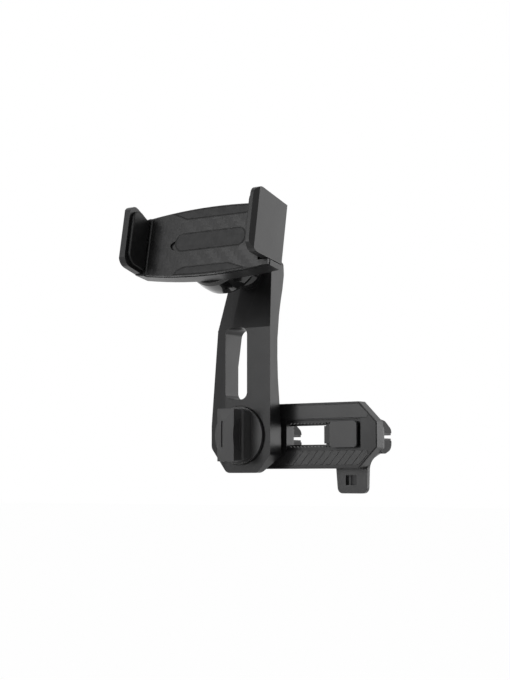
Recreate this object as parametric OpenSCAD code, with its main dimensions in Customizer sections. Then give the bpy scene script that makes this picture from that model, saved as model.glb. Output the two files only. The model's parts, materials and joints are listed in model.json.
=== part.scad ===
// Vent phone mount: a rail with two vane clips, a thumb-locked arm, a ball joint and a sprung cradle.
// Millimetres. +X runs along the rail, +Y points away from the user, +Z is up.
// The origin is the middle of the fixed clip, on its vane slot, in the plane of the rail's back face.

/* [Rail] */
// Height of the pivot and of the rail's window above the vane slots
rail_rise = 1.2; // [0:0.1:2]
// Height of the rail's upper edge above its window's centre line
rail_up = 15.4; // [15:0.1:20]
// Depth of the rail's lower edge below its window's centre line
rail_down = 16.2; // [15:0.1:20]
// Thickness of the rail, cover included
rail_t = 6; // [5.6:0.2:8]
// Distance from the fixed clip to the rail's right end
rail_right = 57.8; // [57:0.1:70]
// Distance from the pivot to the rail's left end
rail_left = 17; // [16:0.5:24]
// Size of the four sloping corners of the rail
rail_corner = 9.7; // [6:0.1:10.6]
// Thickness of the back cover
cover_t = 1.5; // [1.2:0.1:1.8]
// Height of the window that the slider runs in
window_h = 10.6; // [9:0.2:12]
// Distance from the fixed clip to the window's left end
window_left = 7.3; // [7:0.1:9]
// Distance from the fixed clip to the window's right end
window_right = 49.1; // [48:0.1:52]
// Height of the shallow channel around the window
channel_h = 14.6; // [13.6:0.2:16]
// Depth of the shallow channel
channel_d = 1.4; // [1:0.1:1.6]
// Pitch of the ratchet teeth along the window
tooth_pitch = 2; // [1.6:0.1:3]
// Depth of the ratchet teeth
tooth_d = 0.7; // [0.4:0.1:0.8]
// Thickness of the textured strips let into the rail's face
strip_t = 0.8; // [0.5:0.1:1]

/* [Vane clips] */
// Distance between the two clips with the slider fully out
clip_spacing = 51.2; // [48:0.1:60]
// Width of a clip along the rail
clip_w = 10; // [8:0.5:11]
// Height of a clip's head above and below its slot
clip_r = 8; // [7:0.25:9]
// How far a clip reaches behind the rail
clip_reach = 10.9; // [9:0.1:16]
// Height of the slot that takes the vane
vane_gap = 1.8; // [1.4:0.1:3]
// Thickness of the rubber lining on each side of the slot
lining_t = 0.9; // [0.6:0.1:1.2]

/* [Slider] */
// Width of the slider's front plate
slider_w = 20; // [19:0.5:20.4]
// Width of the push button
button_w = 15.2; // [12:0.2:16]
// Height of the push button
button_h = 12.6; // [10:0.2:13]
// How far the button stands out of the rail's face
button_out = 1.3; // [1:0.1:3]
// Travel of the push button
button_travel = 0.8; // [0.4:0.1:0.9]
// Travel of the slider, a whole number of teeth
slider_travel = 20; // [10:2:20]
// Width of the tab below the moving clip
tab_w = 18.2; // [14:0.2:20]
// Depth of the tab's lower edge below the vane slot
tab_low = 26.8; // [24:0.2:34]
// Thickness of the moving clip's back plate and tab
plate_t = 2.4; // [2:0.1:3]

/* [Pivot] */
// Distance from the pivot to the fixed clip
pivot_to_clip = 12; // [11:0.5:16]
// Radius of the pivot bolt
bolt_r = 3; // [2.5:0.25:4]
// Running clearance of each turning fit, on the radius
run_clear = 0.05; // [0.02:0.01:0.1]
// Gap between the rail and the arm, filled by the friction washer
pivot_gap = 1; // [0.8:0.1:1.6]
// Radius of the friction washer
washer_r = 11; // [8:0.5:13]

/* [Knob] */
// Radius of the knob
knob_r = 14.1; // [12:0.1:16]
// How far the knob's grip stands out of the arm
knob_out = 12; // [10:0.5:16]
// Width of the knob's grip bar
grip_w = 9.8; // [8:0.2:12]
// Height of the knob's rim above the arm
knob_base = 1.6; // [1:0.2:3]
// Depth that the knob is sunk into the arm
knob_sink = 1.2; // [0.8:0.1:2]

/* [Arm] */
// Thickness of the arm at the pivot
arm_t = 11; // [9:0.5:14]
// Distance from the pivot down to the arm's lower end
arm_low = 18.2; // [17:0.2:22]
// Distance from the pivot up to the arm's bend
arm_bend = 52.5; // [46:0.5:60]
// Distance from the pivot up to the arm's top
arm_top = 90; // [84:0.5:100]
// Angle at which the arm leans back above its bend
arm_lean = 18; // [10:1:22]
// Half width of the arm at the pivot
arm_half = 18.4; // [17.4:0.2:20]
// Half width of the arm at its top
arm_top_half = 12; // [11:0.5:14]
// Width of the lightening slot in the arm
slot_w = 13; // [8:0.5:14]
// Height of the slot's lower end above the pivot
slot_low = 17.6; // [17:0.2:20]
// Height of the slot's upper end above the pivot
slot_high = 53; // [40:0.5:54]

/* [Ball joint] */
// Radius of the ball
ball_r = 8; // [7:0.5:9]
// Height of the ball above the pivot
ball_up = 87.5; // [80:0.5:96]
// Distance of the ball in front of the arm's lower face
ball_out = 13; // [12:0.5:18]
// Thickness of the liner around the ball
liner_t = 1.2; // [1:0.1:1.6]
// Thickness of the collet around the liner
collet_t = 2.4; // [2:0.1:3]
// Outer radius of the ring nut
nut_r = 19.2; // [17:0.2:20]
// Radius of the stud's neck
neck_r = 3.6; // [3:0.2:4]

/* [Cradle] */
// Width between the jaws when they are closed
clamp_w = 67.6; // [60:0.2:76]
// Extra width that the sprung jaw opens by
jaw_travel = 22; // [10:1:24]
// Height of the cradle's body at its middle
cradle_h = 34.4; // [32:0.2:40]
// Height of the cradle's body at its ends
cradle_end_h = 29.4; // [27:0.2:32]
// Depth of the cradle's body
cradle_d = 9.6; // [9:0.2:12]
// Thickness of the jaws
jaw_t = 5.6; // [4.6:0.1:7]
// Depth of the jaws in front of the cradle's face
jaw_d = 14; // [12:0.5:20]
// Thickness of the cradle's front plate
front_t = 1.8; // [1.4:0.1:2.2]
// Backward tilt of the cradle
cradle_tilt = 10; // [0:1:20]
// Thickness of the rubber pads
pad_t = 1; // [0.8:0.1:1.4]
// Radius of the guide rods
rod_r = 1.25; // [1:0.05:1.5]

/* [Hidden] */
$fn = 64;
fit = 0.02;
gap = 0.3;
cut = 1;
far = 200;
edge = 0.4;
pivot_x = -pivot_to_clip;
rail_front = -rail_t;
arm_back = rail_front - pivot_gap;
arm_front = arm_back - arm_t;

// Screws of every seam
screw_r = 0.9;
screw_head_r = 1.9;
screw_head_h = 0.8;
screw_sink = 0.1;
screw_end = 0.2;

// Rail
rail_ends = [pivot_x - rail_left, rail_right];
lip_t = 1.2;
lip_back = rail_front + channel_d + lip_t;
groove_half = window_h / 2 + 4.2;
strip_margin = 4.3;
strip_points = [[rail_ends[0] + 5, channel_h / 2 + 0.4],
    [rail_ends[1] - strip_margin - 0.9, channel_h / 2 + 0.4],
    [rail_ends[1] - strip_margin, channel_h / 2 + 2.2], [rail_ends[1] - strip_margin - 5.4, rail_up - 1],
    [rail_ends[0] + 8, rail_up - 1]];
bolt_head_r = 5.8;
bolt_head_h = 2.7;
bolt_head_turn = 30;
cover_screw_len = 4;
cover_screws = [[pivot_x - 10, 9], [pivot_x - 10, -9], [rail_right - 5.3, 0], [17, 11.6], [17, -11.6],
    [43, 11.6], [43, -11.6]];
clip_screw_z = clip_r + 1.6;
clip_screw_len = plate_t + 3.8;

// Slider
block_half = window_h / 2 - tooth_d - 0.4;
slider_right = window_right - 0.8;
slider_left = slider_right - slider_w;
slider_screws_x = [slider_left + 2.2, slider_right - 3.4];
slider_screw_len = 5.2;
button_x = window_right - 1.4 - button_w / 2;
button_back = rail_front + channel_d - button_travel - gap;
tab_x = [button_x - tab_w / 2, button_x + tab_w / 2];
spine_half = 3;
spine_end = slider_left + 3;
stem_half = 1.8;
stem_x = [button_x - 5.2, button_x + 3.8];
spring_floor = -cover_t + 0.3;
spring_h = 1.6;
tooth_x = window_left + tooth_pitch * floor((slider_right - 3 - window_left) / tooth_pitch);

// Arm, measured from the pivot and from the plane of its lower face
lean = tan(arm_lean);
arm_right = arm_half - 0.6;
slot_x = [-slot_w / 2 - 2.4, slot_w / 2 - 2.4];
slot_r = 3.6;
facet_d = 1.5;
arm_outline = [[-arm_half, 12.3 - arm_low], [-8, -arm_low], [10.4, -arm_low], [arm_right, 9 - arm_low],
    [arm_right, arm_bend], [arm_top_half - 0.6, arm_top - 4], [arm_top_half - 4.6, arm_top],
    [4.6 - arm_top_half, arm_top], [-arm_top_half, arm_top - 5], [4.4 - arm_half, arm_bend], [-arm_half, 5]];
arm_side = [[0, -arm_low], [0, arm_bend], [lean * (arm_top - arm_bend), arm_top],
    [arm_t - 1 + lean * (arm_top - arm_bend), arm_top], [arm_t + 2.6, arm_bend - 5], [arm_t, arm_bend - 18],
    [arm_t, 9 - arm_low], [arm_t / 3, -arm_low]];
// The sloping bevel behind each side: its distance from the pivot's axis, and the height
bevel_turn = 36;
bevel_points = [[20, -arm_low - cut], [19.9, 4], [19.1, 16], [18.4, 28], [18.15, arm_bend - 14.5],
    [18.2, arm_bend - 5.5], [18.65, arm_bend + 0.8], [19.1, arm_bend + 6.5], [20, arm_bend + 13.5],
    [21.1, arm_bend + 20.5], [21.9, arm_bend + 27.5], [21.9, arm_top + cut]];

// Ball joint, measured from the ball's centre
ball_at = [pivot_x, arm_front - ball_out, ball_up + rail_rise];
stud_seat = (ball_out + lean * (ball_up - arm_bend)) * cos(arm_lean) - 2.2;
boss_r = 8.5;
stud_r = 2;
stud_nut_r = 4;
stud_nut_h = 2.4;
stud_nut_at = stud_seat + 8.6;
liner_in = ball_r + run_clear;
liner_out = liner_in + liner_t;
liner_y = [-6, 4.5];
collet_in = liner_out + run_clear;
collet_out = collet_in + collet_t;
collet_back = 5;
nut_back = 6.2;
flange_t = 1.3;
flange_r = collet_out + 1.9;

// Knob
knob_rim = arm_front - knob_base;
knob_top = arm_front - knob_out;
knob_back = arm_front + knob_sink - gap;
knob_step = knob_top + 5;
insert_r = bolt_r + 1.5;
insert_end = knob_step + 0.2;

// Cradle, measured from the ball's centre, with the cradle's tilt
wall = 2;
body_back = -8.6;
body_front = body_back - cradle_d;
plate_back = body_front + front_t;
inner_back = body_back - wall;
flange_y = [inner_back - 0.1 - flange_t, inner_back - 0.1];
jaw_in = clamp_w / 2;
jaw_out = jaw_in + jaw_t;
body_left = -jaw_out;
body_right = jaw_in - gap;
mid_z = 1.2;
chin_z = -11.2;
bow_centre = 4;
bow_reach = 38;
jaw_front = body_front - jaw_d;
jaw_tip = [-11, 20.6];
jaw_back = body_back + 1.4;
jaw_root = [-10.8, 18.4];
jaw_round = [5.5, 4];
jaw_bevel = 2;
jaw_pad_t = 1.8;
pad_margin = 1.6;
rod_z = 8.5;
rod_y = plate_back + 2.25;
tongue_y = [plate_back + 0.4, flange_y[0] - gap];
tongue_z = [jaw_root[0] + 0.2, 10.8];
tongue_left = 2;
coil_z = 3.4;
coil_left = body_left + 9;
boss_at = [[-27, -12.1], [27, -12.9], [-27, 13.4], [27, 14]];
screw_boss_r = 1.7;
pad_proud = 0.2;

// Solids made from flat outlines: (x, z) outlines run along Y, (y, z) outlines run along X
module along_y(y) translate([0, y[1], 0]) rotate([90, 0, 0]) linear_extrude(y[1] - y[0]) children();
module along_x(x) translate([x[0], 0, 0]) rotate([90, 0, 90]) linear_extrude(x[1] - x[0]) children();
module rod_along_y(r, y) translate([0, y[0], 0]) rotate([-90, 0, 0]) cylinder(r = r, h = y[1] - y[0]);
module rod_along_x(r, x) translate([x[0], 0, 0]) rotate([0, 90, 0]) cylinder(r = r, h = x[1] - x[0]);
module turned() rotate([-90, 0, 0]) rotate_extrude() children();
module box(x, y, z) translate([x[0], y[0], z[0]]) cube([x[1] - x[0], y[1] - y[0], z[1] - z[0]]);
module flat(x, z) translate([x[0], z[0]]) square([x[1] - x[0], z[1] - z[0]]);
module rounded(x, z, r) {
    flat([x[0] + r, x[1] - r], z);
    flat(x, [z[0] + r, z[1] - r]);
    for (i = [x[0] + r, x[1] - r], j = [z[0] + r, z[1] - r]) translate([i, j]) circle(r);
}

// A polygon's points with each corner rounded to its own radius
arc_steps = 5;
function unit(v) = v / norm(v);
function round_corner(before, p, after, r) =
    let (a = unit(before - p), b = unit(after - p), half = acos(a * b) / 2)
    let (centre = p + unit(a + b) * r / sin(half), u = unit(p + a * r / tan(half) - centre))
    let (v = unit(p + b * r / tan(half) - centre), turn = acos(u * v))
    [for (k = [0 : arc_steps]) let (f = k / arc_steps)
        centre + r * (u * sin((1 - f) * turn) + v * sin(f * turn)) / sin(turn)];
function soft(points, radii) =
    let (n = len(points))
    [for (i = [0 : n - 1]) each radii[i] == 0 ? [points[i]]
        : round_corner(points[(i + n - 1) % n], points[i], points[(i + 1) % n], radii[i])];

module screw(head_y, length) {
    rod_along_y(screw_head_r, [head_y - screw_head_h, head_y]);
    rod_along_y(screw_r, [head_y - length, head_y - screw_head_h]);
}
module screw_hole(head_y, length) {
    rod_along_y(screw_head_r + fit, [head_y - screw_head_h, head_y + cut]);
    rod_along_y(screw_r + fit, [head_y - length - screw_end, head_y]);
}
module raised() translate([0, 0, rail_rise]) children();
module at_pivot() translate([pivot_x, 0, rail_rise]) children();
module at_arm() translate([pivot_x, arm_front, rail_rise]) children();
module at_stud() translate(ball_at) rotate([-arm_lean, 0, 0]) children();
module at_ball() translate(ball_at) rotate([-cradle_tilt, 0, 0]) children();
module at_cover_screws() for (p = cover_screws) translate([p[0], 0, p[1] + rail_rise]) children();
module at_clip_screws() for (z = [-clip_screw_z, clip_screw_z]) translate([0, 0, z]) children();
module at_slider_screws() for (x = slider_screws_x) translate([x, 0, 0]) children();
module at_cradle_screws() at_ball() for (p = boss_at) translate([p[0], 0, p[1]]) children();

// Rail
function rail_points(inset) =
    let (a = rail_ends[0] + inset, b = rail_ends[1] - inset, high = rail_up - inset,
        low = inset - rail_down, c = rail_corner)
    [[a + c, low], [b - c, low], [b, low + c], [b, high - c], [b - c, high], [a + c, high],
        [a, high - c], [a, low + c]];
module teeth(side) {
    for (x = [window_left + tooth_pitch : tooth_pitch : window_right - tooth_pitch])
        polygon([[x, side * (window_h / 2 - cut)], [x - tooth_pitch / 2, side * (window_h / 2)],
            [x, side * (window_h / 2 + tooth_d)], [x + tooth_pitch / 2, side * (window_h / 2)]]);
}
module bolt_head(r) translate([0, -cover_t - bolt_head_h, 0]) rotate([0, bolt_head_turn, 0])
    rotate([-90, 0, 0])
    cylinder(r = r, h = bolt_head_h, $fn = 6);
module rail_shell() color("#3c3c3e") difference() {
    raised() {
        along_y([rail_front + edge, -cover_t]) polygon(rail_points(0));
        along_y([rail_front, rail_front + edge]) polygon(rail_points(edge));
    }
    raised() {
        along_y([rail_front - cut, rail_front + channel_d])
            flat([window_left, window_right], [-channel_h / 2, channel_h / 2]);
        along_y([rail_front - cut, cut]) flat([window_left, window_right], [-window_h / 2, window_h / 2]);
        along_y([lip_back, cut]) flat([window_left, window_right], [-groove_half, groove_half]);
        along_y([rail_front + channel_d - cut, lip_back + cut]) for (side = [-1, 1]) teeth(side);
        along_y([rail_front - cut, rail_front + strip_t]) {
            polygon(strip_points);
            mirror([0, 1]) polygon(strip_points);
        }
    }
    at_pivot() {
        rod_along_y(bolt_r + fit, [rail_front - cut, cut]);
        bolt_head(bolt_head_r + fit);
    }
    at_cover_screws() screw_hole(-screw_sink, cover_screw_len);
    at_clip_screws() screw_hole(plate_t - screw_sink, clip_screw_len);
}
module rail_cover() color("#303032") difference() {
    raised() difference() {
        along_y([-cover_t, 0]) polygon(rail_points(0));
        along_y([-cover_t - cut, cut])
            flat([window_left, window_right], [-block_half - 0.4, block_half + 0.4]);
    }
    at_cover_screws() screw_hole(-screw_sink, cover_screw_len);
    at_clip_screws() screw_hole(plate_t - screw_sink, clip_screw_len);
}
module strip() along_y([rail_front, rail_front + strip_t]) polygon(strip_points);
module upper_strip() color("#474748") raised() strip();
module lower_strip() color("#474748") raised() mirror([0, 0, 1]) strip();
module rail_screws() color("#8a8c90") {
    at_cover_screws() screw(-screw_sink, cover_screw_len);
    at_clip_screws() screw(plate_t - screw_sink, clip_screw_len);
}

// Vane clips
module clip_head(back) {
    tip = clip_reach;
    mouth = vane_gap / 2 + lining_t;
    along_x([-clip_w / 2, clip_w / 2]) difference() {
        polygon(soft([[back - cut, -clip_r], [back + 2.6, -clip_r], [tip, 2.2 - clip_r], [tip, clip_r - 4.4],
            [back + 2.2, clip_r - 0.6], [back - cut, clip_r]], [0, 3, 4, 3, 2.4, 0]));
        flat([back + 0.6, tip + cut], [-mouth, mouth]);
    }
}
module clip_linings(back) {
    for (side = [0, 1]) mirror([0, 0, side]) along_x([-clip_w / 2, clip_w / 2])
        flat([back + 0.6, clip_reach - 0.7], [vane_gap / 2, vane_gap / 2 + lining_t]);
}
module fixed_clip() color("#2b2b2d") difference() {
    union() {
        along_y([0, plate_t]) rounded([-clip_w / 2 - 1, clip_w / 2 + 1], [-clip_r - 4, clip_r + 4], 2);
        clip_head(plate_t);
    }
    at_clip_screws() screw_hole(plate_t - screw_sink, clip_screw_len);
}
module fixed_clip_linings() color("#1e1e20") clip_linings(plate_t);
clip_back = gap + plate_t;
clip_right = clip_spacing + clip_w / 2;
tab_recess = [tab_x[0] + 6, 4 - tab_low];
module moving_clip() color("#2f2f31") difference() {
    union() {
        along_y([gap, clip_back])
            polygon(soft([[slider_left, clip_r - 2], [slider_left, 2 - clip_r], [tab_x[0], 1 - clip_r],
            [tab_x[0] + 1.6, -tab_low], [tab_x[1] - 0.6, -tab_low], [tab_x[1], -clip_r - 3],
                [clip_right + 0.8, -clip_r + 1],
            [clip_right + 0.8, clip_r - 2]], [2, 2, 0, 2.8, 2.8, 7, 3, 3]));
        translate([clip_spacing, 0, 0]) clip_head(clip_back);
    }
    translate([tab_recess[0], 0, tab_recess[1]]) linear_extrude(4.6)
        polygon([[0, gap - cut], [0, gap + 1.6], [1.8, gap + 1.6], [6, gap], [6, gap - cut]]);
    at_slider_screws() screw_hole(clip_back - screw_sink, slider_screw_len);
}
module moving_clip_linings() color("#1e1e20") translate([clip_spacing, 0, 0]) clip_linings(clip_back);

// Slider
module slider_carriage() color("#38383a") difference() {
    raised() difference() {
        union() {
            box([slider_left, spine_end], [rail_front + channel_d - 0.4, -cover_t],
                [-block_half, block_half]);
            box([slider_left, slider_right], [rail_front + channel_d, lip_back + 0.4],
                [-spine_half, spine_half]);
            box([slider_left, slider_right], [lip_back + 0.2, -cover_t - 0.2],
                [gap - groove_half, groove_half - gap]);
            box([slider_left, slider_right], [-cover_t - 0.3, gap], [-block_half, block_half]);
        }
        along_y([rail_front, spring_floor])
            flat([stem_x[0] - gap, stem_x[1] + gap], [-stem_half - gap, stem_half + gap]);
    }
    at_slider_screws() screw_hole(clip_back - screw_sink, slider_screw_len);
}
module slider_screws() color("#8a8c90") at_slider_screws() screw(clip_back - screw_sink, slider_screw_len);
module ratchet_springs() color("#9a9ca0") raised() along_y([rail_front + channel_d + 0.1, lip_back - 0.1])
    for (side = [0, 1]) mirror([0, side]) polygon([[spine_end, spine_half], [spine_end + 3, spine_half],
        [slider_right - 2, spine_half + 0.5], [slider_right - 2, spine_half + 1.2],
        [tooth_x, window_h / 2 + tooth_d - 0.25], [tooth_x - 1, spine_half + 1.2],
        [spine_end + 3, spine_half + 0.7], [spine_end, spine_half + 0.7]]);
module slide_button() color("#454547") raised() {
    along_y([rail_front - button_out, button_back - 0.4])
        rounded([button_x - button_w / 2, button_x + button_w / 2], [-button_h / 2, button_h / 2], 2);
    box(stem_x, [button_back - 0.5, spring_floor - spring_h], [-stem_half, stem_half]);
}
module button_spring() color("#9a9ca0") translate([button_x - 0.7, spring_floor, rail_rise])
    linear_extrude(2.4, center = true) polygon([[-4, 0], [-3.4, 0], [0, 0.4 - spring_h], [3.4, 0], [4, 0],
        [0.4, -spring_h], [-0.4, -spring_h]]);

// Pivot
module pivot_bolt() color("#8a8c90") at_pivot() {
    bolt_head(bolt_head_r);
    rod_along_y(bolt_r, [insert_end + 1.4, -cover_t - bolt_head_h / 2]);
}
module friction_washer() color("#55565a") at_pivot() difference() {
    rod_along_y(washer_r, [arm_back + gap / 2, rail_front]);
    rod_along_y(bolt_r + fit, [arm_back - cut, rail_front + cut]);
}
module pivot_bush() color("#b08d57") at_pivot() difference() {
    rod_along_y(bolt_r + 1.2, [arm_front + knob_sink, arm_back]);
    rod_along_y(bolt_r + run_clear, [arm_front - cut, arm_back + cut]);
}

// Arm
module facet(x) linear_extrude(far, center = true)
    polygon([[x, -cut], [x, 0], [-arm_half, facet_d], [-far, facet_d], [-far, -cut]]);
module back_bevel() rotate([0, 0, bevel_turn - 90]) along_x([-far, far])
    polygon(concat(bevel_points, [[-far, arm_top + cut], [-far, -arm_low - cut]]));
module arm_beam() color("#414143") difference() {
    union() {
        at_arm() difference() {
            intersection() {
                along_y([-cut, far]) polygon(soft(arm_outline, [4, 4, 3, 3, 0, 3, 3, 3, 3, 6, 6]));
                along_x([-arm_half - cut, arm_half + cut]) polygon(arm_side);
                back_bevel();
                mirror([1, 0, 0]) back_bevel();
            }
            intersection() {
                facet(slot_x[0]);
                box([-far, far], [-far, far], [-far, arm_bend]);
            }
            translate([0, 0, arm_bend]) rotate([-arm_lean, 0, 0]) intersection() {
                facet(slot_x[0] + 4.4);
                box([-far, far], [-far, far], [0, far]);
            }
            along_y([-cut, far]) rounded(slot_x, [slot_low, slot_high], slot_r);
        }
        at_stud() rod_along_y(boss_r, [stud_seat, stud_seat + 6]);
    }
    at_pivot() {
        rod_along_y(knob_r + 0.4, [arm_front - cut, arm_front + knob_sink]);
        rod_along_y(bolt_r + 1.2 + fit, [arm_front - cut, arm_back + cut]);
    }
    at_stud() {
        rod_along_y(stud_r + fit, [stud_seat - cut, stud_seat + far]);
        rod_along_y(stud_nut_r + 0.4, [stud_nut_at, stud_seat + far]);
    }
}
module ball_stud() color("#2a2a2c") at_stud() {
    sphere(ball_r);
    rod_along_y(neck_r, [0, stud_seat]);
    translate([0, stud_seat - 3.5, 0]) rotate([-90, 0, 0]) cylinder(r1 = neck_r, r2 = boss_r - 1.5, h = 3.5);
    rod_along_y(stud_r, [stud_seat - cut, stud_nut_at + stud_nut_h - screw_sink]);
}
module stud_nut() color("#8a8c90") at_stud() difference() {
    translate([0, stud_nut_at, 0]) rotate([-90, 0, 0]) cylinder(r = stud_nut_r, h = stud_nut_h, $fn = 6);
    rod_along_y(stud_r + fit, [stud_nut_at - cut, stud_nut_at + stud_nut_h + cut]);
}

// Knob
module knob_body() color("#4a4a4c") at_pivot() difference() {
    union() {
        rod_along_y(knob_r, [knob_rim, knob_back]);
        intersection() {
            rod_along_y(knob_r - 0.6, [knob_top, knob_rim + cut]);
            box([-far, far], [knob_top, knob_rim + cut], [1.4 - knob_r, knob_r - 1.4]);
            linear_extrude(far, center = true) polygon([[-grip_w / 2, knob_top], [grip_w / 2, knob_top],
                [grip_w / 2 + 1, knob_step], [grip_w / 2 + 1.8, knob_step + 0.4],
                    [grip_w / 2 + 3.4, knob_rim + cut],
                [-grip_w / 2 - 3.4, knob_rim + cut], [-grip_w / 2 - 1.8, knob_step + 0.4],
                    [-grip_w / 2 - 1, knob_step]]);
        }
    }
    for (side = [-1, 1]) translate([side * (grip_w / 2 - 0.4 + 2 * knob_r), 0, 0])
        rod_along_y(2 * knob_r, [knob_top - cut, knob_step]);
    rod_along_y(insert_r + fit, [insert_end, arm_front + knob_sink]);
    along_y([knob_top - cut, knob_top + 0.6]) rounded([-2.6, -1.2], [-6, 6.6], 0.6);
}
module knob_insert() color("#b08d57") at_pivot() difference() {
    rod_along_y(insert_r, [insert_end, knob_back]);
    rod_along_y(bolt_r + run_clear, [insert_end + cut, knob_back + cut]);
}

// Ball joint
module ball_liner() color("#1c1c1e") at_ball() turned() intersection() {
    difference() {
        circle(liner_out);
        circle(liner_in);
    }
    flat([0, liner_out + cut], liner_y);
}
module socket_collet() color("#29292b") at_ball() difference() {
    turned() difference() {
        polygon([[0, flange_y[0]], [flange_r, flange_y[0]], [flange_r, flange_y[1]],
            [collet_out, flange_y[1]],
            [collet_out, collet_back], [0, collet_back]]);
        circle(collet_in);
    }
    for (a = [0, 90]) rotate([0, a, 0])
        box([-0.5, 0.5], [-2, collet_back + cut], [-collet_out - cut, collet_out + cut]);
}
module ring_nut() color("#232325") at_ball() turned()
    polygon([[collet_out + run_clear, body_back + 0.4], [nut_r - 2.2, body_back + 0.4],
        [nut_r - 1.2, body_back + 1.8],
        [nut_r - 0.3, -2], [nut_r, 2.2], [nut_r - 0.8, 4.6], [nut_r - 3, nut_back],
            [collet_in + 0.6, nut_back],
        [collet_in + 0.6, collet_back + gap], [collet_out + run_clear, collet_back + gap]]);

// Cradle
function bow(x, inset, side) = let (t = (x - bow_centre) / bow_reach)
    side * (cradle_h / 2 + side * mid_z - (cradle_h - cradle_end_h) / 2 * t * t - inset);
function body_points(inset, right) =
    let (a = body_left + inset, b = right - inset, n = 12)
    concat([for (i = [0 : n]) let (x = a + (b - a) * i / n) [x, bow(x, inset, -1)]],
        [for (i = [n : -1 : 0]) let (x = a + (b - a) * i / n) [x, bow(x, inset, 1)]]);
module body_outline(inset) {
    polygon(body_points(inset, body_right));
    intersection() {
        polygon(body_points(inset, jaw_out));
        flat([0, jaw_out], [-cradle_h, chin_z]);
    }
}
function left_root() = [bow(body_left, 0.3, -1), bow(body_left, 0, 1)];
// A jaw's outline in (y, z), from its tip back to y, and its section in (x, y) with a bevelled outer edge
module jaw_side(y, root, inset) polygon(soft([[jaw_front + inset, jaw_tip[0] + inset], [y, root[0] + inset],
    [y, root[1] - inset], [jaw_front + inset, jaw_tip[1] - inset]], [jaw_round[0], 0, 0, jaw_round[1]]));
module jaw_blade(y, root, thick, bevel) intersection() {
    along_x([0, thick]) jaw_side(y, root, 0);
    linear_extrude(far, center = true) polygon([[0, jaw_front], [thick - bevel, jaw_front],
        [thick, jaw_front + bevel], [thick, y], [0, y]]);
}
module jaw_pad_blade(root) along_x([0, jaw_pad_t]) jaw_side(body_front - gap, root, pad_margin);
module rear_shell() color("#3a3a3c") difference() {
    at_ball() difference() {
        union() {
            difference() {
                along_y([plate_back, body_back]) body_outline(0);
                along_y([plate_back - cut, inner_back]) polygon(body_points(wall, body_right));
            }
            for (p = boss_at) translate([p[0], 0, p[1]])
                rod_along_y(screw_boss_r, [plate_back, inner_back + 0.1]);
            for (z = [-rod_z, rod_z]) translate([0, rod_y, z])
                box([body_left + 1, coil_left + 1], [-1.9, 4], [-2, 2]);
            for (z = [-coil_z, coil_z]) translate([0, rod_y, z])
                box([coil_left - 2.5, coil_left], [-1.9, 4], [-1.4, 1.4]);
            mirror([1, 0, 0]) translate([jaw_in, 0, 0]) {
                translate([jaw_pad_t, 0, 0]) jaw_blade(body_front, left_root(), jaw_t - jaw_pad_t, edge);
            }
            intersection() {
                box([body_left, -jaw_in], [body_front, body_back], [-cradle_h, cradle_h]);
                along_y([body_front, body_back]) body_outline(0);
            }
        }
        rod_along_y(collet_out + 0.1, [inner_back - cut, body_back + cut]);
        box([body_right - wall - cut, body_right + cut], [tongue_y[0] - gap, tongue_y[1] + gap],
            [tongue_z[0] - gap, tongue_z[1] + gap]);
        for (z = [-rod_z, rod_z]) translate([0, rod_y, z])
            rod_along_x(rod_r + fit, [body_left + 4, coil_left + 4]);
    }
    at_cradle_screws() screw_hole(body_back - screw_sink, cradle_d - 1.2);
}
module pad_end(x) translate([x, 1.5]) circle(4.25);
module centre_outline() {
    flat([-12, 20.6], [-2.75, 5.75]);
    pad_end(-12);
    pad_end(20.6);
}
module upper_outline() polygon([[-19, bow(-19, 1, 1)], [-11, 13.2], [24, 13], [30, bow(30, 1, 1)],
    [17, bow(17, 1, 1)], [5, bow(5, 1, 1)], [-7, bow(-7, 1, 1)]]);
module lower_outline() polygon([[-15.6, bow(-15.6, 1, -1)], [-13.8, -12.4], [-9.5, -11.2], [16.5, -11.2],
    [25.6, bow(25.6, 1, -1)], [15, bow(15, 1, -1)], [5, bow(5, 1, -1)], [-5, bow(-5, 1, -1)]]);
module front_plate() color("#434345") difference() {
    at_ball() difference() {
        along_y([body_front, plate_back]) difference() {
            body_outline(0.3);
            flat([body_left - cut, -jaw_in], [-cradle_h, cradle_h]);
        }
        along_y([body_front - cut, body_front + pad_t - pad_proud]) {
            centre_outline();
            upper_outline();
            lower_outline();
        }
        along_y([body_front - cut, body_front + pad_t])
            polygon([[-19.5, 0.2], [-19.5, 1.1], [-17.5, 2.5], [-15, 2.5], [-15, -2.2], [-16.6, -2.2],
                [-18.6, -1.3]]);
    }
    at_cradle_screws() rod_along_y(screw_r + fit, [plate_back - 1, plate_back + cut]);
}
module pad() at_ball() along_y([body_front - pad_proud, body_front + pad_t - pad_proud]) children();
module centre_pad() color("#262628") pad() centre_outline();
module upper_pad() color("#262628") pad() upper_outline();
module lower_pad() color("#262628") pad() lower_outline();
module left_jaw_pad() color("#202022") at_ball() mirror([1, 0, 0]) translate([jaw_in, 0, 0])
    jaw_pad_blade(left_root());
module cradle_screws() color("#8a8c90") at_cradle_screws() screw(body_back - screw_sink, cradle_d - 1.2);
module guide_rods() color("#a0a2a6") at_ball() for (z = [-rod_z, rod_z]) translate([0, rod_y, z])
    rod_along_x(rod_r, [body_left + 4, body_right - cut]);

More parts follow.
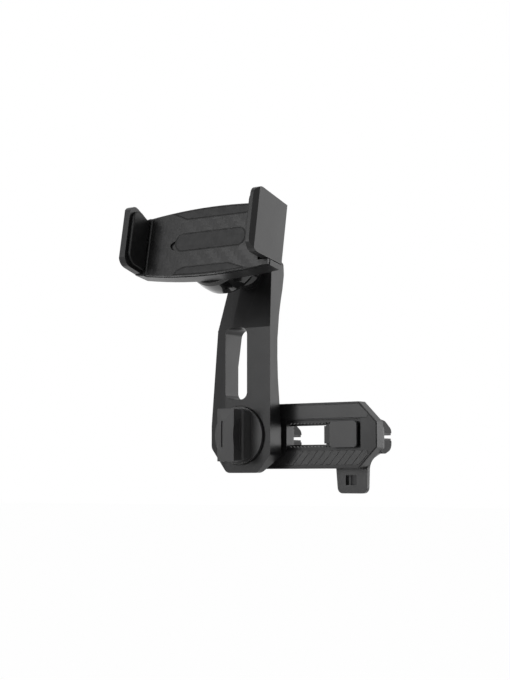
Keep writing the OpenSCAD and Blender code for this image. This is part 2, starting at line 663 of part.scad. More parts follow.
// A coil along X: its wire is swept round a helix in rings of equal sides
coil_r = 1.2;
wire_r = 0.22;
coil_turns = 16;
coil_steps = 10;
wire_sides = 5;
module coil(x0, x1) {
    n = coil_turns * coil_steps;
    points = [for (i = [0 : n]) let (a = 360 * i / coil_steps, x = x0 + (x1 - x0) * i / n)
        for (k = [0 : wire_sides - 1]) let (b = 360 * k / wire_sides, r = coil_r + wire_r * cos(b))
            [x + wire_r * sin(b), r * cos(a), r * sin(a)]];
    faces = concat([[for (k = [0 : wire_sides - 1]) k]],
        [for (i = [0 : n - 1], k = [0 : wire_sides - 1], half = [0, 1])
            let (m = (k + 1) % wire_sides, p = i * wire_sides, q = p + wire_sides)
            half == 0 ? [p + k, q + k, q + m] : [p + k, q + m, p + m]],
        [[for (k = [wire_sides - 1 : -1 : 0]) n * wire_sides + k]]);
    polyhedron(points, faces);
}
module jaw_springs() color("#a0a2a6") at_ball() for (z = [-coil_z, coil_z]) translate([0, rod_y, z])
    coil(coil_left + gap, tongue_left - gap);
module right_jaw() color("#3e3e40") at_ball() difference() {
    union() {
        translate([jaw_in + jaw_pad_t, 0, 0]) jaw_blade(jaw_back, jaw_root, jaw_t - jaw_pad_t, jaw_bevel);
        box([tongue_left, jaw_in + jaw_pad_t + cut], tongue_y, tongue_z);
    }
    for (z = [-rod_z, rod_z]) translate([0, rod_y, z])
        rod_along_x(rod_r + run_clear, [tongue_left - cut, jaw_in]);
}
module right_jaw_pad() color("#202022") at_ball() translate([jaw_in, 0, 0]) jaw_pad_blade(jaw_root);

rail_shell();
rail_cover();
upper_strip();
lower_strip();
rail_screws();
fixed_clip();
fixed_clip_linings();
pivot_bolt();
friction_washer();
slider_carriage();
ratchet_springs();
moving_clip();
moving_clip_linings();
slider_screws();
slide_button();
button_spring();
arm_beam();
pivot_bush();
ball_stud();
stud_nut();
knob_body();
knob_insert();
ball_liner();
socket_collet();
ring_nut();
rear_shell();
front_plate();
centre_pad();
upper_pad();
lower_pad();
left_jaw_pad();
cradle_screws();
guide_rods();
jaw_springs();
right_jaw();
right_jaw_pad();
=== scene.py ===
"""Vent clip phone mount: moulded edges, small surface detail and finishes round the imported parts."""

import json
import math

import bmesh
import bpy
from bpy.props import FloatProperty, FloatVectorProperty, IntProperty, PointerProperty
from mathutils import Matrix, Vector

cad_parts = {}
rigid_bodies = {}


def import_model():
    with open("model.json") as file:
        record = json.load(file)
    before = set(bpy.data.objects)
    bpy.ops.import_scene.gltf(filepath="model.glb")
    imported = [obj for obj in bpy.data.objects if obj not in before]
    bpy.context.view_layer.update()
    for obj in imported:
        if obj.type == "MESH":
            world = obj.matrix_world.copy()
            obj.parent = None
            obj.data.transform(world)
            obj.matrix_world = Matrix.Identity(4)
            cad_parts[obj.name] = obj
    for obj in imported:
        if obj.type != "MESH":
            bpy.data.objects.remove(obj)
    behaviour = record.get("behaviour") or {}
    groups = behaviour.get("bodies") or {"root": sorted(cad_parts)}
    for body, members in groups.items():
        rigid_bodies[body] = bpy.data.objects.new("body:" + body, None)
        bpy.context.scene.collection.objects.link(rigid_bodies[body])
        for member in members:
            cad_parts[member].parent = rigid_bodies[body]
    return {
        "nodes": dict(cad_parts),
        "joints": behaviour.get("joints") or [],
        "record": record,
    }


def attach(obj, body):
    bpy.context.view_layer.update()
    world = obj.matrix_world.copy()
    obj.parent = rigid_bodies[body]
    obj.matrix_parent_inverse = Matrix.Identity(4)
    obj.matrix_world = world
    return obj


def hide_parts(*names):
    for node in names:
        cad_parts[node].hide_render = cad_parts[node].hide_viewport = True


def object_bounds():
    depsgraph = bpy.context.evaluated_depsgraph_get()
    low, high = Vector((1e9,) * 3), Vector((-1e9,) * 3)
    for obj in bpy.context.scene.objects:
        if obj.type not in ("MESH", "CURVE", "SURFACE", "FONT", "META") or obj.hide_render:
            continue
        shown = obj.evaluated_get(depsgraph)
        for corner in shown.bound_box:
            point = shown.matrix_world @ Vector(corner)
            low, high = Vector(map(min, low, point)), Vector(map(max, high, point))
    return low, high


bl_info = {
    "name": "Vent Clip Phone Mount",
    "version": (1, 0, 0),
    "blender": (4, 5, 0),
    "location": "3D View > Sidebar > Phone Mount",
    "description": "Builds the looks of a phone mount that clips on an air vent",
    "category": "Add Mesh",
}

for startup_object in list(bpy.data.objects):
    bpy.data.objects.remove(startup_object)
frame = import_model()
bpy.context.view_layer.update()
CAD_BOX = [list(corner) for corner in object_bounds()]

MM = 0.001
MERGE_DISTANCE = 0.002 * MM
FLAT_ANGLE = math.radians(1.0)
SHARP_ANGLE = math.radians(16)
CREASE_ANGLE = math.radians(50)
FACET_ANGLE = math.radians(4)
BROAD_FACE = 12 * MM * MM
SCREW_HEAD_AREA = 8 * MM * MM
SCREW_TURN = math.radians(37)
CLIP_PLATE_BACK = 2.6 * MM
CUT_TOLERANCE = 1e-7
SAME_WAY = 0.99
PAD_END = 0.5
FACET_WEIGHT = 100
BAND_SHARE = 0.5
BAND_SLOPE = 0.6
RIDGE_SEGMENTS = 24
RIDGE_SINK = 0.22
PLATE_EDGE_ZONE = 2 * MM

# Sizes and depths of the patterns in the finishes
MOTTLE_SIZE = 14 * MM
SMEAR_SIZE = 9 * MM
DUST_SIZE = 7 * MM
PATCH_SIZE = 3 * MM
PORE_SIZE = 0.35 * MM
PORE_DEPTH = 0.03 * MM
LINE_SIZE = 0.3 * MM
LINE_DEPTH = 0.01 * MM
TOW_DEPTH = 0.05 * MM
NOISE_LOW, NOISE_HIGH = 0.3, 0.7
RUBBED_START, RUBBED_END = 0.51, 0.58
COAT_ROUGHNESS = 0.08

IMAGE_LONG_SIDE = 680
SENSOR = 24.0
NEAR_CLIP = 0.01
FLOOR_HALF_SIDE = 6.0
FLOOR_COLOUR = (0.72, 0.72, 0.72, 1)
FLOOR_GLOW = 0.99
FLOOR_DROP = 0.16
WHITE = (1, 1, 1, 1)
LAMP_DISTANCE = 1.2
LAMPS = (  # name, azimuth and elevation in degrees, size in metres, the setting that holds its power
    ("front_softbox", -27, 15, (0.46, 0.8), "front_power"),
    ("back_softbox", 148, 8, (0.7, 0.8), "side_power"),
    ("top_softbox", 20, 80, (0.7, 0.7), "top_power"),
)


# Settings

class MountFinishes(bpy.types.PropertyGroup):
    """Colours and roughness of every finish"""
    shell_colour: FloatVectorProperty(
        name="Shell", description="Matte moulded casing", subtype="COLOR",
        default=(0.028, 0.028, 0.0287))
    plate_colour: FloatVectorProperty(
        name="Plate", description="Front plate between the woven tows", subtype="COLOR",
        default=(0.0406, 0.0406, 0.0413))
    strip_colour: FloatVectorProperty(
        name="Strip", description="Insert strips of the rail", subtype="COLOR",
        default=(0.0447, 0.0447, 0.0454))
    button_colour: FloatVectorProperty(
        name="Button", description="Release button", subtype="COLOR", default=(0.098, 0.098, 0.099))
    rubber_colour: FloatVectorProperty(
        name="Rubber", description="Cushion pads and clip linings", subtype="COLOR",
        default=(0.0322, 0.0322, 0.0329))
    clip_colour: FloatVectorProperty(
        name="Clips", description="Vent clips", subtype="COLOR", default=(0.0651, 0.0651, 0.0662))
    gloss_colour: FloatVectorProperty(
        name="Gloss", description="Ball joint and its ring nut", subtype="COLOR",
        default=(0.0154, 0.0154, 0.0161))
    steel_colour: FloatVectorProperty(
        name="Steel", description="Screws, rods and springs", subtype="COLOR",
        default=(0.30, 0.30, 0.31))
    brass_colour: FloatVectorProperty(
        name="Brass", description="Bush and threaded insert", subtype="COLOR",
        default=(0.62, 0.43, 0.19))
    shell_roughness: FloatProperty(
        name="Shell roughness", description="Roughness of matte plastic", subtype="FACTOR",
        default=0.31, min=0, max=1)
    rubber_roughness: FloatProperty(
        name="Rubber roughness", description="Roughness of the pads", subtype="FACTOR",
        default=0.46, min=0, max=1)
    gloss_roughness: FloatProperty(
        name="Gloss roughness", description="Roughness of polished plastic", subtype="FACTOR",
        default=0.12, min=0, max=1)
    metal_roughness: FloatProperty(
        name="Metal roughness", description="Roughness of the metal pieces", subtype="FACTOR",
        default=0.32, min=0, max=1)
    black_shine: FloatProperty(
        name="Shine of the black plastics", description="Specular level of plastic and rubber",
        default=0.25)
    grain_size: FloatProperty(
        name="Grain size", description="Size of the moulded grain", unit="LENGTH", default=0.45 * MM)
    grain_depth: FloatProperty(
        name="Grain depth", description="Depth of the moulded grain", unit="LENGTH", default=0.03 * MM)
    tow_width: FloatProperty(
        name="Tow width", description="Width of one tow of the woven finish", unit="LENGTH",
        default=2.4 * MM)


class MountEdges(bpy.types.PropertyGroup):
    """Edge rounding and raised detail"""
    casing_edge: FloatProperty(
        name="Casing edge", description="Rounding of the large mouldings", unit="LENGTH",
        default=0.35 * MM)
    fine_edge: FloatProperty(
        name="Fine edge", description="Rounding of small mouldings", unit="LENGTH", default=0.2 * MM)
    pad_edge: FloatProperty(
        name="Pad edge", description="Rounding of the soft pads", unit="LENGTH", default=0.4 * MM)
    edge_steps: IntProperty(
        name="Edge steps", description="Faces across each rounded edge", default=3, min=1, max=6)
    stripe_pitch: FloatProperty(
        name="Stripe pitch", description="Spacing of the lower strip's slanted ridges", unit="LENGTH",
        default=3.1 * MM)
    stripe_height: FloatProperty(
        name="Stripe height", description="Height of the slanted ridges", unit="LENGTH",
        default=0.2 * MM)
    stripe_lean: FloatProperty(
        name="Stripe lean", description="Slant of the ridges from upright", subtype="ANGLE",
        default=math.radians(42))
    recess_width: FloatProperty(
        name="Recess width", description="Width of a screw's cross recess", unit="LENGTH",
        default=0.5 * MM)
    recess_length: FloatProperty(
        name="Recess length", description="Length of a screw's cross recess", unit="LENGTH",
        default=2.3 * MM)
    recess_depth: FloatProperty(
        name="Recess depth", description="Depth of a screw's cross recess", unit="LENGTH",
        default=0.5 * MM)
    seam_width: FloatProperty(
        name="Seam width", description="Width of the dark line round each cushion pad", unit="LENGTH",
        default=0.45 * MM)
    seam_sink: FloatProperty(
        name="Seam sink", description="How far the line lies below the pad's face", unit="LENGTH",
        default=0.16 * MM)
    ridge_width: FloatProperty(
        name="Ridge width", description="Width of the fillet at the fixed jaw's root", unit="LENGTH",
        default=1.4 * MM)
    rib_pitch: FloatProperty(
        name="Rib pitch", description="Spacing of the ribs on the clip linings", unit="LENGTH",
        default=1.2 * MM)
    rib_height: FloatProperty(
        name="Rib height", description="Height of those ribs", unit="LENGTH", default=0.14 * MM)


class MountStage(bpy.types.PropertyGroup):
    """Camera, floor and lamps"""
    camera_place: FloatVectorProperty(
        name="Camera", description="Where the camera stands", subtype="TRANSLATION",
        default=(0.39759, -0.59020, -0.02041))
    camera_turn: FloatProperty(
        name="Turn", description="How far round to the right the camera stands", subtype="ANGLE",
        default=math.radians(35))
    camera_pitch: FloatProperty(
        name="Pitch", description="How far the camera looks up", subtype="ANGLE",
        default=math.radians(5.553))
    focal_length: FloatProperty(
        name="Focal length", description="In image heights", default=1440 / IMAGE_LONG_SIDE, min=0.5)
    front_power: FloatProperty(
        name="Front lamp", description="Power of the left front softbox", subtype="POWER", default=4.2)
    side_power: FloatProperty(
        name="Back lamp", description="Power of the right rear softbox", subtype="POWER", default=3.7)
    top_power: FloatProperty(
        name="Top lamp", description="Power of the top softbox", subtype="POWER", default=1.0)
    fill: FloatProperty(
        name="Fill", description="Strength of the even surrounding light", default=0.03, min=0)


def finishes():
    return bpy.context.scene.mount_finishes


def edges():
    return bpy.context.scene.mount_edges


# Materials: every pattern is laid out on Object coordinates

def add(tree, kind, links=None, **settings):
    """Adds a shader node; links maps an input to a value or to another node's output."""
    made = tree.nodes.new(kind)
    for name, value in settings.items():
        setattr(made, name, value)
    for socket, value in (links or {}).items():
        if isinstance(value, bpy.types.NodeSocket):
            tree.links.new(value, made.inputs[socket])
        else:
            made.inputs[socket].default_value = value
    return made


def start_material(name):
    made = bpy.data.materials.new(name)
    made.use_nodes = True
    tree = made.node_tree
    place = add(tree, "ShaderNodeTexCoord").outputs["Object"]
    return made, tree, tree.nodes["Principled BSDF"], place


def start_black(name):
    """A plastic or rubber, which reflects less than the default."""
    made, tree, shader, place = start_material(name)
    shader.inputs["Specular IOR Level"].default_value = finishes().black_shine
    return made, tree, shader, place


def roughen(tree, shader, strength, distance, height):
    bump = add(tree, "ShaderNodeBump", {"Strength": strength, "Distance": distance, "Height": height})
    tree.links.new(bump.outputs["Normal"], shader.inputs["Normal"])


def noise(tree, place, size, detail=3.0):
    links = {"Vector": place, "Scale": 1 / size, "Detail": detail}
    return add(tree, "ShaderNodeTexNoise", links).outputs["Fac"]


def ramp(tree, factor, low, high, start=NOISE_LOW, end=NOISE_HIGH):
    made = add(tree, "ShaderNodeValToRGB", {"Fac": factor})
    made.color_ramp.elements[0].position = start
    made.color_ramp.elements[1].position = end
    made.color_ramp.elements[0].color = (*low, 1)
    made.color_ramp.elements[1].color = (*high, 1)
    return made.outputs["Color"]


def spread(tree, factor, low, high):
    links = {"Value": factor, "From Min": NOISE_LOW, "From Max": NOISE_HIGH,
             "To Min": low, "To Max": high}
    return add(tree, "ShaderNodeMapRange", links).outputs["Result"]


def math_node(tree, operation, first, second=0.0):
    return add(tree, "ShaderNodeMath", {0: first, 1: second}, operation=operation).outputs[0]


def shade(colour, factor):
    return tuple(channel * factor for channel in colour)


def worn(tree, colour, strength):
    """Lightens the corners that hands and the phone rub."""
    corner = add(tree, "ShaderNodeNewGeometry").outputs["Pointiness"]
    rubbed = ramp(tree, corner, (1, 1, 1), (strength,) * 3, RUBBED_START, RUBBED_END)
    links = {0: 1.0, 6: colour, 7: rubbed}
    return add(tree, "ShaderNodeMix", links, data_type="RGBA", blend_type="MULTIPLY").outputs[2]


def plastic(name, colour, roughness, grain=1.0, wear=1.25, coat=0.0):
    made, tree, shader, place = start_black(name)
    settings = finishes()
    mottle = ramp(tree, noise(tree, place, MOTTLE_SIZE), shade(colour, 0.95), shade(colour, 1.05))
    tree.links.new(worn(tree, mottle, wear), shader.inputs["Base Color"])
    smear = spread(tree, noise(tree, place, SMEAR_SIZE, 1.0), roughness - 0.015, roughness + 0.02)
    tree.links.new(smear, shader.inputs["Roughness"])
    height = noise(tree, place, settings.grain_size, 2.0)
    roughen(tree, shader, 0.5 * grain, settings.grain_depth, height)
    shader.inputs["Coat Weight"].default_value = coat
    shader.inputs["Coat Roughness"].default_value = COAT_ROUGHNESS
    return made


def rubber(name, colour, roughness):
    made, tree, shader, place = start_black(name)
    dusty = ramp(tree, noise(tree, place, DUST_SIZE, 5.0), shade(colour, 0.85), shade(colour, 1.2))
    tree.links.new(dusty, shader.inputs["Base Color"])
    patchy = spread(tree, noise(tree, place, PATCH_SIZE), roughness - 0.06, roughness + 0.08)
    tree.links.new(patchy, shader.inputs["Roughness"])
    pores = add(tree, "ShaderNodeTexVoronoi", {"Vector": place, "Scale": 1 / PORE_SIZE})
    roughen(tree, shader, 0.35, PORE_DEPTH, pores.outputs["Distance"])
    return made


def metal(name, colour, roughness, stretch):
    """Turned or drawn metal, with fine lines along the axis that stretch leaves longest."""
    made, tree, shader, place = start_material(name)
    drawn = add(tree, "ShaderNodeMapping", {"Vector": place, "Scale": stretch}).outputs["Vector"]
    lines = noise(tree, drawn, LINE_SIZE, 4.0)
    tint = ramp(tree, lines, shade(colour, 0.86), shade(colour, 1.08))
    tree.links.new(tint, shader.inputs["Base Color"])
    tree.links.new(spread(tree, lines, roughness - 0.08, roughness + 0.08), shader.inputs["Roughness"])
    roughen(tree, shader, 0.3, LINE_DEPTH, lines)
    shader.inputs["Metallic"].default_value = 1.0
    return made


def woven(name, colour, roughness, sheen_contrast):
    """Two by two twill: each tow passes over two and under two, and the step moves along by one. The
    under-tows are darker, and the over-tows are painted lighter in noise patches: the weave pattern is
    real, while the lighter patches are a painted sheen where the tows catch the reflection.
    """
    made, tree, shader, place = start_black(name)
    tow = finishes().tow_width
    scaled = add(tree, "ShaderNodeMapping", {"Vector": place, "Scale": (1 / tow,) * 3}).outputs["Vector"]
    axes = add(tree, "ShaderNodeSeparateXYZ", {"Vector": scaled})
    across, up = axes.outputs["X"], axes.outputs["Z"]
    step = math_node(tree, "ADD", math_node(tree, "FLOOR", across), math_node(tree, "FLOOR", up))
    over = math_node(tree, "LESS_THAN", math_node(tree, "FLOORED_MODULO", step, 4.0), 2.0)
    crowns = []
    for axis in (across, up):
        middle = math_node(tree, "SUBTRACT", math_node(tree, "FRACT", axis), 0.5)
        round_top = math_node(tree, "MULTIPLY", math_node(tree, "MULTIPLY", middle, middle), 4.0)
        crowns.append(math_node(tree, "SUBTRACT", 1.0, round_top))
    height = add(tree, "ShaderNodeMix", {0: over, 2: crowns[0], 3: crowns[1]}).outputs[0]
    # painted sheen: noise patches where the over-tows are coloured lighter, as if catching a reflection
    painted_sheen_patches = spread(tree, noise(tree, place, SMEAR_SIZE, 1.0), -0.2, 1.1)
    tint = ramp(tree, math_node(tree, "MULTIPLY", over, painted_sheen_patches), shade(colour, 1 - sheen_contrast),
                shade(colour, 1 + sheen_contrast), 0.0, 1.0)
    tree.links.new(worn(tree, tint, 1.2), shader.inputs["Base Color"])
    sheen = spread(tree, over, roughness + 0.05, roughness - 0.05)
    tree.links.new(sheen, shader.inputs["Roughness"])
    roughen(tree, shader, 0.25, TOW_DEPTH, height)
    return made


FINISHES = {}


def make_finishes():
    s = finishes()
    FINISHES.update({
        "shell": plastic("shell_plastic", s.shell_colour, s.shell_roughness),
        "plate": woven("woven_plate", s.plate_colour, s.shell_roughness, 0.2),
        "strip": plastic("strip_plastic", s.strip_colour, s.shell_roughness - 0.06),
        "rubber": rubber("pad_rubber", s.rubber_colour, s.rubber_roughness),
        "button": plastic("button_plastic", s.button_colour, s.shell_roughness),
        # painted shade: the pad rubber darkened for the jaw pads, which sit in shadow inside the jaws
        "jaw_rubber": rubber("jaw_rubber", shade(s.rubber_colour, 0.4), s.rubber_roughness),
        # painted shade: the clip plastic darkened for the prongs, which sit in shadow behind the plate
        "prong_shade": plastic("prong_plastic", shade(s.clip_colour, 0.35), s.rubber_roughness + 0.1),
        # painted shade: the pad rubber darkened for the ring that stands for the shadowed gap round each
        # pad
        "seam": rubber("seam_rubber", shade(s.rubber_colour, 0.25), s.rubber_roughness),
        "clip": plastic("clip_plastic", s.clip_colour, s.shell_roughness - 0.04),
        "gloss": plastic(
            "gloss_plastic", s.gloss_colour, s.gloss_roughness, grain=0.12, wear=1.1, coat=0.5),
        "steel": metal("drawn_steel", s.steel_colour, s.metal_roughness, (0.15, 1, 1)),
        "brass": metal("turned_brass", s.brass_colour, s.metal_roughness, (1, 0.15, 1)),
    })


# Meshes

def solid_copy(node):
    """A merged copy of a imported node, with flat faces whole again."""
    made = bmesh.new()
    made.from_mesh(frame["nodes"][node].data)
    bmesh.ops.remove_doubles(made, verts=made.verts, dist=MERGE_DISTANCE)
    bmesh.ops.dissolve_limit(
        made, angle_limit=FLAT_ANGLE, verts=made.verts, edges=made.edges, delimit=set())
    return made


def round_edges(made, width):
    sharp = [e for e in made.edges if e.is_manifold and e.calc_face_angle(0) > SHARP_ANGLE]
    bmesh.ops.bevel(
        made, geom=sharp, offset=width, offset_type="OFFSET", segments=edges().edge_steps, profile=0.5,
        affect="EDGES", clamp_overlap=True, material=-1)


def body_of_node(node):
    for body, members in frame["record"]["behaviour"]["bodies"].items():
        if node in members:
            return body
    raise ValueError(f"no body holds {node}")


def show(made, name, finish, body):
    """Turns a bmesh into a shown piece that rides on a body."""
    if not made.faces:
        raise ValueError(f"{name} has no faces")
    bmesh.ops.remove_doubles(made, verts=made.verts, dist=MERGE_DISTANCE)
    bmesh.ops.recalc_face_normals(made, faces=made.faces)
    for face in made.faces:
        face.smooth = True
    for edge in made.edges:
        angle = edge.calc_face_angle(0)
        broad = min((face.calc_area() for face in edge.link_faces), default=0) > BROAD_FACE
        edge.smooth = not (angle > CREASE_ANGLE or broad and angle > FACET_ANGLE)
    mesh = bpy.data.meshes.new(name)
    made.to_mesh(mesh)
    made.free()
    mesh.materials.append(FINISHES[finish])
    piece = bpy.data.objects.new(name, mesh)
    bpy.context.scene.collection.objects.link(piece)
    level = piece.modifiers.new("flat_facets", "WEIGHTED_NORMAL")
    level.weight = FACET_WEIGHT
    level.keep_sharp = True
    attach(piece, body)
    return piece


def finish_piece(made, name, node, finish):
    """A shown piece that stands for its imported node."""
    piece = show(made, name, finish, body_of_node(node))
    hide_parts(node)
    return piece


def moulding(node, finish, width):
    """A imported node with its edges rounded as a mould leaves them."""
    made = solid_copy(node)
    round_edges(made, width)
    return finish_piece(made, node + "_moulding", node, finish)


def raise_bands(made, facing, across, pitch, height):
    """Cuts a mesh into bands across a direction, and raises every other one that looks along facing."""
    facing, across = Vector(facing).normalized(), Vector(across).normalized()
    reach = [v.co.dot(across) for v in made.verts]
    first, last = math.floor(min(reach) / pitch), math.ceil(max(reach) / pitch)
    for band in range(first, last + 1):
        for offset in (0.0, BAND_SHARE):
            cut = across * ((band + offset) * pitch)
            geometry = made.verts[:] + made.edges[:] + made.faces[:]
            bmesh.ops.bisect_plane(
                made, geom=geometry, dist=CUT_TOLERANCE, plane_co=cut, plane_no=across)
    made.normal_update()
    chosen = []
    for face in made.faces:
        place = face.calc_center_median().dot(across) / pitch
        if face.normal.dot(facing) > SAME_WAY and place - math.floor(place) < BAND_SHARE:
            chosen.append(face)
    bmesh.ops.inset_individual(
        made, faces=chosen, thickness=height * BAND_SLOPE, depth=height, use_even_offset=True)


def cross_recess(made, outward):
    """Cuts a cross recess into every screw head that looks along outward."""
    outward = Vector(outward).normalized()
    wing, arm = edges().recess_width / 2, edges().recess_length / 2
    made.normal_update()
    heads = [face for face in made.faces
             if face.normal.dot(outward) > SAME_WAY and face.calc_area() > SCREW_HEAD_AREA]
    for number, head in enumerate(heads):
        centre = head.calc_center_median()
        across = Matrix.Rotation(number * SCREW_TURN, 3, outward) @ Vector((1, 0, 0))
        across = (across - outward * across.dot(outward)).normalized()
        along = outward.cross(across)
        pieces = [head]
        for direction in (across, along):
            for distance in (-arm, -wing, wing, arm):
                corners = {vertex for face in pieces for vertex in face.verts}
                sides = {edge for face in pieces for edge in face.edges}
                cut = bmesh.ops.bisect_plane(
                    made, geom=list(corners | sides) + pieces, dist=CUT_TOLERANCE,
                    plane_co=centre + direction * distance, plane_no=direction)
                pieces = [item for item in cut["geom"] if isinstance(item, bmesh.types.BMFace)]
        sunk = []
        for face in pieces:
            place = face.calc_center_median() - centre
            sides = sorted((abs(place.dot(across)), abs(place.dot(along))))
            if sides[0] < wing and sides[1] < arm:
                sunk.append(face)
        raised = bmesh.ops.extrude_face_region(made, geom=sunk)
        bmesh.ops.delete(made, geom=sunk, context="FACES")
        deep = [item for item in raised["geom"] if isinstance(item, bmesh.types.BMVert)]
        bmesh.ops.translate(made, verts=deep, vec=-outward * edges().recess_depth)


def paint_prong_shade(piece, behind):
    """The prongs behind a clip's plate get a darker, duller copy of the clip plastic: painted shade for
    the shadow they sit in behind the plate.
    """
    piece.data.materials.append(FINISHES["prong_shade"])
    for face in piece.data.polygons:
        if face.center.y > behind:
            face.material_index = 1


def cradle_facing():
    """The way the cradle's plate looks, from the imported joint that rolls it."""
    roll = next(joint for joint in frame["joints"] if joint["name"] == "ball_roll")
    return -Vector(roll["axis"]).normalized()


def pad_seam(pad):
    """A thin dark line round a pad, made by thickening the pad's side walls outwards; its very dark
    rubber is painted shade for the shadow in the gap round the pad.
    """
    facing = cradle_facing()
    made = solid_copy(pad)
    made.normal_update()
    ends = [face for face in made.faces if abs(face.normal.dot(facing)) > PAD_END]
    bmesh.ops.delete(made, geom=ends, context="FACES")
    bmesh.ops.solidify(made, geom=made.faces[:], thickness=-edges().seam_width)
    bmesh.ops.translate(made, verts=made.verts, vec=-facing * edges().seam_sink)
    bmesh.ops.recalc_face_normals(made, faces=made.faces)
    return show(made, pad + "_seam", "seam", body_of_node(pad))


def root_ridge():
    """The rounded fillet that runs up the plate beside the fixed jaw's pad."""
    facing = cradle_facing()
    up = Vector((0, facing.z, -facing.y))
    corners = [v.co for v in frame["nodes"]["front_plate"].data.vertices]
    left = min(c.x for c in corners)
    near = [c for c in corners if c.x < left + PLATE_EDGE_ZONE]
    front = max(c.dot(facing) for c in near)
    low, high = min(c.dot(up) for c in near), max(c.dot(up) for c in near)
    width = edges().ridge_width
    made = bmesh.new()
    bmesh.ops.create_cone(made, cap_ends=True, segments=RIDGE_SEGMENTS, radius1=width / 2,
                          radius2=width / 2, depth=high - low - width)
    turn = Vector((0, 0, 1)).rotation_difference(up).to_matrix()
    bmesh.ops.rotate(made, verts=made.verts, matrix=turn)
    middle = (Vector((left + width / 2, 0, 0)) + facing * (front - width * RIDGE_SINK)
              + up * (low + high) / 2)
    bmesh.ops.translate(made, verts=made.verts, vec=middle)
    return show(made, "jaw_root_ridge", "strip", "cradle")


def paint_node(node, finish):
    """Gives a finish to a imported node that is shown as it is."""
    materials = frame["nodes"][node].data.materials
    materials.clear()
    materials.append(FINISHES[finish])


# Pieces

class MOUNT_OT_rail(bpy.types.Operator):
    """Builds the rail's two shells and its plain and striped strips"""
    bl_idname = "mount.rail"
    bl_label = "Rail"

    def execute(self, context):
        moulding("rail_shell", "shell", edges().casing_edge)
        moulding("rail_cover", "shell", edges().casing_edge)
        moulding("upper_strip", "strip", edges().fine_edge)
        lean = edges().stripe_lean
        striped = solid_copy("lower_strip")
        raise_bands(striped, (0, -1, 0), (math.cos(lean), 0, -math.sin(lean)),
                    edges().stripe_pitch, edges().stripe_height)
        finish_piece(striped, "lower_strip_stripes", "lower_strip", "strip")
        return {"FINISHED"}


class MOUNT_OT_clips(bpy.types.Operator):
    """Builds the two vent clips and their ribbed linings"""
    bl_idname = "mount.clips"
    bl_label = "Vent clips"

    def execute(self, context):
        for clip in ("fixed_clip", "moving_clip"):
            paint_prong_shade(moulding(clip, "clip", edges().fine_edge), CLIP_PLATE_BACK)
            lining = solid_copy(clip + "_linings")
            for side in (-1, 1):
                raise_bands(lining, (0, 0, side), (0, 1, 0), edges().rib_pitch, edges().rib_height)
            finish_piece(lining, clip + "_ribs", clip + "_linings", "rubber")
        return {"FINISHED"}


class MOUNT_OT_slider(bpy.types.Operator):
    """Builds the slider and its release button"""
    bl_idname = "mount.slider"
    bl_label = "Slider"

    def execute(self, context):
        moulding("slider_carriage", "shell", edges().fine_edge)
        moulding("slide_button", "button", edges().fine_edge)
        return {"FINISHED"}


class MOUNT_OT_arm(bpy.types.Operator):
    """Builds the slotted arm"""
    bl_idname = "mount.arm"
    bl_label = "Arm"

    def execute(self, context):
        moulding("arm_beam", "shell", edges().casing_edge)
        return {"FINISHED"}


class MOUNT_OT_knob(bpy.types.Operator):
    """Builds the thumb knob"""
    bl_idname = "mount.knob"
    bl_label = "Knob"

    def execute(self, context):
        moulding("knob_body", "button", edges().casing_edge)
        return {"FINISHED"}


class MOUNT_OT_ball_joint(bpy.types.Operator):
    """Builds the ring nut and polishes the ball joint's other pieces"""
    bl_idname = "mount.ball_joint"
    bl_label = "Ball joint"

    def execute(self, context):
        moulding("ring_nut", "gloss", edges().fine_edge)
        for node in ("ball_stud", "ball_liner", "socket_collet"):
            paint_node(node, "gloss")
        return {"FINISHED"}


class MOUNT_OT_cradle(bpy.types.Operator):
    """Builds the cradle's shells, its woven plate and its jaw"""
    bl_idname = "mount.cradle"
    bl_label = "Cradle"

    def execute(self, context):
        moulding("rear_shell", "shell", edges().casing_edge)
        moulding("right_jaw", "shell", edges().casing_edge)
        moulding("front_plate", "plate", edges().fine_edge)
        root_ridge()
        return {"FINISHED"}


class MOUNT_OT_pads(bpy.types.Operator):
    """Builds the cushion pads of the cradle and the jaws"""
    bl_idname = "mount.pads"
    bl_label = "Pads"

    def execute(self, context):
        for pad in ("centre_pad", "upper_pad", "lower_pad"):
            moulding(pad, "rubber", edges().pad_edge)
            pad_seam(pad)
        for pad in ("left_jaw_pad", "right_jaw_pad"):
            # the jaw pads get the darkened rubber, painted shade for the shadow inside the jaws
            moulding(pad, "jaw_rubber", edges().pad_edge)
        return {"FINISHED"}


class MOUNT_OT_hardware(bpy.types.Operator):
    """Finishes the metal pieces inside"""
    bl_idname = "mount.hardware"
    bl_label = "Hardware"

    def execute(self, context):
        backs = {"rail_screws": (0, 1, 0), "slider_screws": (0, 1, 0), "cradle_screws": -cradle_facing()}
        for node, outward in backs.items():
            made = solid_copy(node)
            cross_recess(made, outward)
            finish_piece(made, node + "_recessed", node, "steel")
        for node in ("pivot_bolt", "friction_washer", "ratchet_springs", "button_spring", "stud_nut",
                     "guide_rods", "jaw_springs"):
            paint_node(node, "steel")
        for node in ("pivot_bush", "knob_insert"):
            paint_node(node, "brass")
        return {"FINISHED"}


# Stage

def softbox(name, azimuth, elevation, size, power):
    """A rectangular lamp aimed at the object's middle; azimuth runs as it does for the camera."""
    low, high = (Vector(corner) for corner in CAD_BOX)
    middle = (low + high) / 2
    level = math.cos(math.radians(elevation))
    away = Vector((math.sin(math.radians(azimuth)) * level, -math.cos(math.radians(azimuth)) * level,
                   math.sin(math.radians(elevation))))
    data = bpy.data.lights.new(name, "AREA")
    data.shape = "RECTANGLE"
    data.size, data.size_y = size
    data.energy = power
    lamp = bpy.data.objects.new(name, data)
    lamp.location = middle + away * LAMP_DISTANCE
    lamp.rotation_euler = (-away).to_track_quat("-Z", "Y").to_euler()
    bpy.context.scene.collection.objects.link(lamp)


